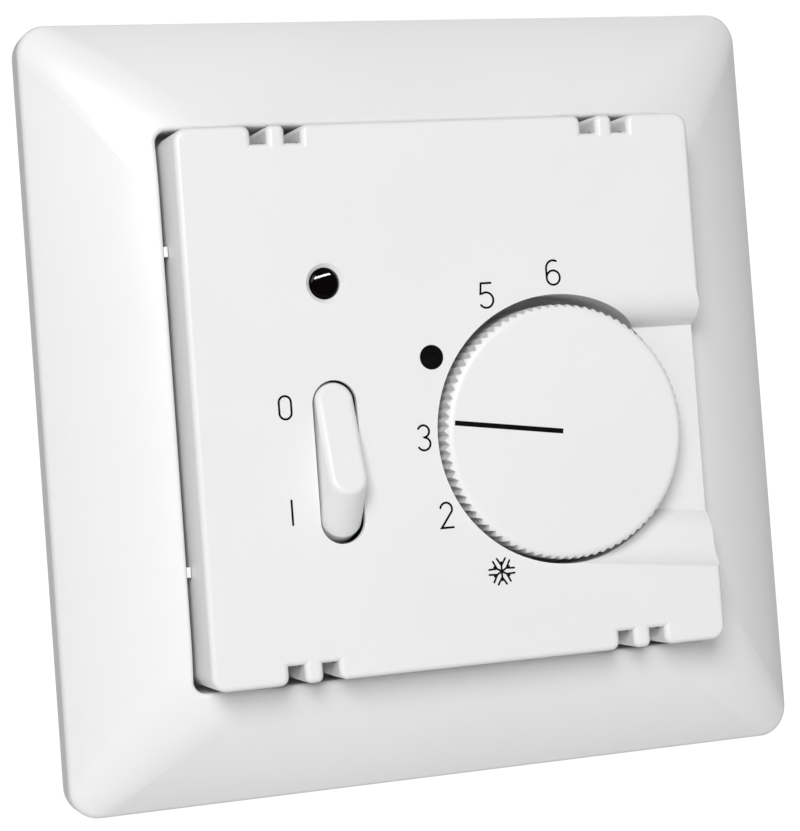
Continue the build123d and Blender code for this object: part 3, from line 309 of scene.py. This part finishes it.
def resistor(name, middle_x, half_length, bands):
    """Lacquered resistor body with colour bands across its length."""
    n = Nodes(name)
    axis = n.add("ShaderNodeSeparateXYZ", Vector=n.place).outputs["X"]
    along = n.spread(axis, 0.0, 1.0, middle_x - half_length, middle_x + half_length)
    ramp = n.add("ShaderNodeValToRGB", Fac=along)
    ramp.color_ramp.interpolation = "CONSTANT"
    body = (0.52, 0.4, 0.24, 1.0)
    ramp.color_ramp.elements[0].color = body
    ramp.color_ramp.elements.remove(ramp.color_ramp.elements[1])
    for start, colour in bands:
        ramp.color_ramp.elements.new(start).color = colour
        ramp.color_ramp.elements.new(start + BAND_WIDTH).color = body
    grime = n.spread(n.noise(700.0, 4.0), 0.0, 0.18)
    n.set(Base_Color=n.blend(grime, ramp.outputs["Color"], (0.2, 0.15, 0.1, 1.0)))
    n.set(Roughness=n.spread(n.noise(500.0, 3.0), 0.28, 0.42))
    n.set(Normal=n.bump(n.noise(1200.0, 3.0), 0.00002, 0.4))
    return n.material


WHITE_FRAME = (0.84, 0.84, 0.845)
WHITE_COVER = (0.83, 0.83, 0.832)
WHITE_DIAL = (0.835, 0.835, 0.837)
GREY_HOUSING = (0.3, 0.31, 0.33)
BROWN = (0.1, 0.03, 0.01, 1.0)
BLACK = (0.01, 0.01, 0.01, 1.0)
RED = (0.5, 0.02, 0.01, 1.0)
GOLD = (0.55, 0.35, 0.06, 1.0)


def resistor_for(node, bands):
    low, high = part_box(node)
    return resistor(node + "_lacquer", (low.x + high.x) / 2, (high.x - low.x) / 2, bands)


zinc = metal("zinc_plate", (0.62, 0.64, 0.67), 0.34, tarnish=0.86)
brass = metal("stamped_brass", (0.8, 0.58, 0.24), 0.3, tarnish=0.72)
grey = moulded("housing_plastic", GREY_HOUSING, 0.5, grain=1900.0, depth=0.00003, dust=0.9)
nylon = moulded("natural_nylon", (0.78, 0.75, 0.66), 0.42, dust=0.93)
finishes = {
    "cover_frame": moulded("frame_plastic", WHITE_FRAME, 0.3),
    "front_cover": moulded("cover_plastic", WHITE_COVER, 0.34),
    "dial": moulded("dial_plastic", WHITE_DIAL, 0.36),
    "rocker": moulded("rocker_plastic", WHITE_DIAL, 0.24),
    "lamp_lens": lens("smoked_lens"),
    "indicator_lamp": bulb_glass("glow_lamp_glass"),
    "lamp_leads": metal("tinned_wire", (0.75, 0.75, 0.76), 0.3, (1.0, 0.1, 1.0)),
    "support_plate": zinc, "plate_screws": zinc, "board_screws": zinc, "cover_screw": zinc,
    "rocker_pin": zinc, "lever_pin": zinc, "calibration_screw": zinc, "terminal_screws": zinc,
    "friction_washer": metal("spring_steel", (0.5, 0.5, 0.52), 0.25),
    "base_housing": grey, "rear_cover": grey, "terminal_block": grey,
    "min_range_ring": moulded("blue_ring", (0.03, 0.1, 0.42), 0.4, dust=0.85),
    "max_range_ring": moulded("red_ring", (0.5, 0.03, 0.02), 0.4, dust=0.85),
    "setpoint_spindle": nylon, "setting_lever": nylon, "rocker_bracket": nylon,
    "circuit_board": board("solder_resist"),
    "feedback_resistor": resistor_for("feedback_resistor", ((0.25, BROWN), (0.42, BLACK), (0.59, RED))),
    "lamp_resistor": resistor_for("lamp_resistor", ((0.25, RED), (0.42, RED), (0.59, GOLD))),
    "setback_resistor": resistor_for("setback_resistor", ((0.25, GOLD), (0.42, BROWN), (0.59, BLACK))),
    "suppression_capacitor": moulded("capacitor_shell", (0.75, 0.5, 0.06), 0.3, dust=0.88),
    "switch_blade": brass, "switch_fulcrum": brass, "switch_contact": brass, "terminal_tabs": brass,
    "bimetal_bracket": brass,
    "terminal_cages": metal("nickel_cage", (0.6, 0.58, 0.54), 0.36),
    "bimetal_strip": metal("rolled_bimetal", (0.58, 0.54, 0.48), 0.32, (1.0, 1.0, 0.08)),
    "armature": metal("soft_iron", (0.45, 0.45, 0.46), 0.4),
    "lever_contact": metal("silver", (0.9, 0.89, 0.86), 0.18),
    "moving_contact": metal("silver_moving", (0.9, 0.89, 0.86), 0.18),
    "magnet": metal("ferrite", (0.09, 0.09, 0.1), 0.55, tarnish=0.7),
}
for name, material in finishes.items():
    slots = nodes[name].data.materials
    slots.clear()
    slots.append(material)
print_ink = ink("print_ink")

# ---------------------------------------------------------------- printed marks
COVER_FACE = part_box("front_cover")[0].y
DIAL_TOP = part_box("dial")[0].y
INK_THICKNESS = 0.00002
STROKE_LIFT = 0.04
MM = 0.001
DIGIT_WIDTH = 0.21
FROST_WIDTH = 0.19
DOT_RADIUS = 1.24
STEPS_PER_TURN = 48


def arc(cx, cz, rx, rz, start, end):
    """Points on an ellipse in millimetres, from one angle in degrees to another."""
    count = max(3, int(abs(end - start) / 360 * STEPS_PER_TURN))
    angles = [radians(start + (end - start) * i / count) for i in range(count + 1)]
    return [(cx + rx * cos(a), cz + rz * sin(a)) for a in angles]


def ribbon(points, width, closed=False):
    """The two edges of a stroke of even width along points, with mitred corners."""
    left, right = [], []
    last = len(points) - 1
    for i, (x, z) in enumerate(points):
        before = points[i - 1] if i or closed else points[i]
        after = points[(i + 1) % len(points)] if i < last or closed else points[i]
        first = Vector((x - before[0], z - before[1]))
        second = Vector((after[0] - x, after[1] - z))
        first = first.normalized() if first.length > 1e-9 else second.normalized()
        second = second.normalized() if second.length > 1e-9 else first
        way = (first + second).normalized()
        reach = width / 2 / max(0.45, way.dot(first))
        side = Vector((-way.y, way.x)) * reach
        left.append((x + side.x, z + side.y))
        right.append((x - side.x, z - side.y))
    return left, right


def stroke_faces(points, width, closed):
    """Outline loops and flat faces of one stroke, as 2-D points and index lists."""
    left, right = ribbon(points, width, closed)
    count = len(points)
    flat = left + right
    faces = []
    pairs = count if closed else count - 1
    for i in range(pairs):
        j = (i + 1) % count
        faces.append([i, j, count + j, count + i])
    if closed:
        return flat, faces
    for end, inner in ((count - 1, count - 2), (0, 1)):
        centre = Vector(points[end])
        way = (centre - Vector(points[inner])).normalized()
        side = Vector((-way.y, way.x))
        cap = []
        for step in range(1, 6):
            a = pi * step / 6
            p = centre + side * (cos(a) * width / 2) + way * (sin(a) * width / 2)
            flat.append((p.x, p.y))
            cap.append(len(flat) - 1)
        first, second = (end, count + end) if end else (count + end, end)
        faces.append([first] + cap + [second])
    return flat, faces


def solid_from(name, flats, y_front, y_back, body, at, turn=0.0):
    """Thin raised print from flat shapes in millimetres: front, back and the edges between."""
    verts, faces = [], []
    for number, (flat, flat_faces) in enumerate(flats):
        lift = -number * INK_THICKNESS * STROKE_LIFT
        base = len(verts)
        size = len(flat)
        for depth in (y_front + lift, y_back):
            for x, z in flat:
                c, s = cos(turn), sin(turn)
                verts.append((at[0] + (x * c - z * s) * MM, depth, at[1] + (x * s + z * c) * MM))
        edges = {}
        for face in flat_faces:
            sides = zip(face, face[1:] + face[:1])
            area = sum(flat[a][0] * flat[b][1] - flat[b][0] * flat[a][1] for a, b in sides)
            ordered = face if area > 0 else face[::-1]
            faces.append([base + i for i in ordered])
            faces.append([base + size + i for i in reversed(ordered)])
            for a, b in zip(ordered, ordered[1:] + ordered[:1]):
                edges[(a, b)] = True
        for a, b in edges:
            if (b, a) not in edges:
                faces.append([base + b, base + a, base + size + a, base + size + b])
    mesh = bpy.data.meshes.new(name)
    mesh.from_pydata(verts, [], faces)
    mesh.validate()
    mesh.materials.append(print_ink)
    piece = bpy.data.objects.new(name, mesh)
    scene.collection.objects.link(piece)
    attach(piece, body)
    return piece


def disc(radius, count=64):
    angles = [2 * pi * i / count for i in range(count)]
    return [(radius * cos(a), radius * sin(a)) for a in angles], [list(range(count))]


SIX = arc(0.06, 0.42, 0.78, 0.83, 62, 180) + [(-0.72, 0.0)] + arc(0.0, -0.52, 0.72, 0.73, 180, 536)
FIVE = [(0.56, 1.25), (-0.52, 1.25), (-0.62, 0.18)] + arc(-0.04, -0.47, 0.76, 0.78, 118, -142)
THREE = arc(-0.04, 0.64, 0.6, 0.61, 152, -84) + arc(-0.04, -0.61, 0.66, 0.64, 84, -150)
TWO = arc(-0.02, 0.6, 0.62, 0.65, 166, -24) + [(-0.62, -1.25), (0.66, -1.25)]
NOUGHT = arc(0.0, 0.52, 0.62, 0.62, 0, 180) + arc(0.0, -0.52, 0.62, 0.62, 180, 360)
BAR = [(0.0, 1.2), (0.0, -1.2)]

# The scale's centre, then each mark's angle in degrees and its radius
SCALE_X, SCALE_Z = 0.0111, -0.0045
SCALE_RADIUS = 0.016
DOT_ANGLE = 149.5
FROST_ANGLE = 240
OFF_PLACE = (-0.01825, -0.0004)
ON_PLACE = (-0.0183, -0.0107)
SCALE = {
    "mark_six": (SIX, 90, 0.01595),
    "mark_five": (FIVE, 118, 0.01585),
    "mark_three": (THREE, 179.5, 0.0152),
    "mark_two": (TWO, 210, 0.0155),
}


def on_scale(angle, radius):
    return (SCALE_X + radius * cos(radians(angle)), SCALE_Z + radius * sin(radians(angle)))


def print_mark(name, flats, at):
    solid_from(name, flats, COVER_FACE - INK_THICKNESS, COVER_FACE + INK_THICKNESS / 2, "housing", at)


for name, (points, angle, radius) in SCALE.items():
    print_mark(name, [stroke_faces(points, DIGIT_WIDTH, False)], on_scale(angle, radius))
print_mark("mark_dot", [disc(DOT_RADIUS)], on_scale(DOT_ANGLE, SCALE_RADIUS))
print_mark("mark_off", [stroke_faces(NOUGHT, DIGIT_WIDTH, True)], OFF_PLACE)
print_mark("mark_on", [stroke_faces(BAR, DIGIT_WIDTH, False)], ON_PLACE)


def snowflake():
    """Six arms, each ending in a wide V."""
    flats = []
    for arm in range(6):
        c, s = cos(radians(60 * arm + 30)), sin(radians(60 * arm + 30))
        lines = [[(0.05, 0.0), (0.92, 0.0)]]
        for side in (-1, 1):
            lines.append([(0.6, 0.0), (1.3, side * 0.46)])
        for line in lines:
            turned = [(x * c - z * s, x * s + z * c) for x, z in line]
            flats.append(stroke_faces(turned, FROST_WIDTH, False))
    return flats


print_mark("mark_frost", snowflake(), on_scale(FROST_ANGLE, SCALE_RADIUS))

# The pointer on the dial
POINTER_START, POINTER_END, POINTER_WIDTH = 0.4, 12.1, 0.5
POINTER_ANGLE = 172.0
dial_low, dial_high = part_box("dial")
dial_x, dial_z = (dial_low.x + dial_high.x) / 2, (dial_low.z + dial_high.z) / 2
near, far, half = POINTER_START, POINTER_END, POINTER_WIDTH / 2
pointer = [(near, -half), (far, -half), (far, half), (near, half)], [[0, 1, 2, 3]]
pointer_back = DIAL_TOP + INK_THICKNESS / 2
pointer_front = DIAL_TOP - INK_THICKNESS
dial_centre = (dial_x, dial_z)
solid_from("pointer", [pointer], pointer_front, pointer_back, "dial", dial_centre, radians(POINTER_ANGLE))
